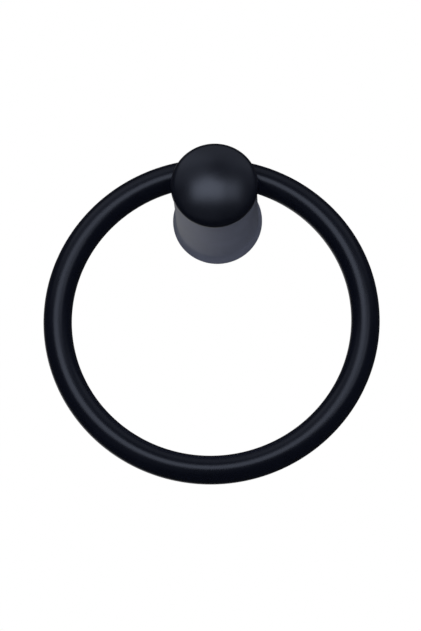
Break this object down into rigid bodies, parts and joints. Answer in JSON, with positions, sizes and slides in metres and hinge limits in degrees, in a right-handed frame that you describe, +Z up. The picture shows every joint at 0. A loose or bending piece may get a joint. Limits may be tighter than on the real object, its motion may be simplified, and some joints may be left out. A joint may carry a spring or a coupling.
{
  "type": "ring pull handle",
  "caption": "Ring pull for a drawer or cupboard door: a round ring swings in the cross bore of a short turned post with a low domed head.",
  "frame": {"origin": "centre of the post's back face, which lies on the door, at the mouth of the screw hole", "axes": "+Y into the door along the post's axis, -Y out into the room, +Z up; the ring hangs plumb along -Z"},
  "size_m": [0.06, 0.0249, 0.0619],
  "materials": {
    "post_finish": "dark grey satin",
    "head_finish": "black satin",
    "ring_finish": "black satin"
  },
  "bodies": {
    "post": {"post": "post_finish", "domed_head": "head_finish"},
    "ring": {"ring": "ring_finish"}
  },
  "joints": [
    {"name": "ring_swing", "type": "hinge", "parent": "post", "child": "ring", "pos_m": [0, -0.01718, 0.00348], "axis": [-1, 0, 0], "range_deg": [-15, 195]}
  ]
}
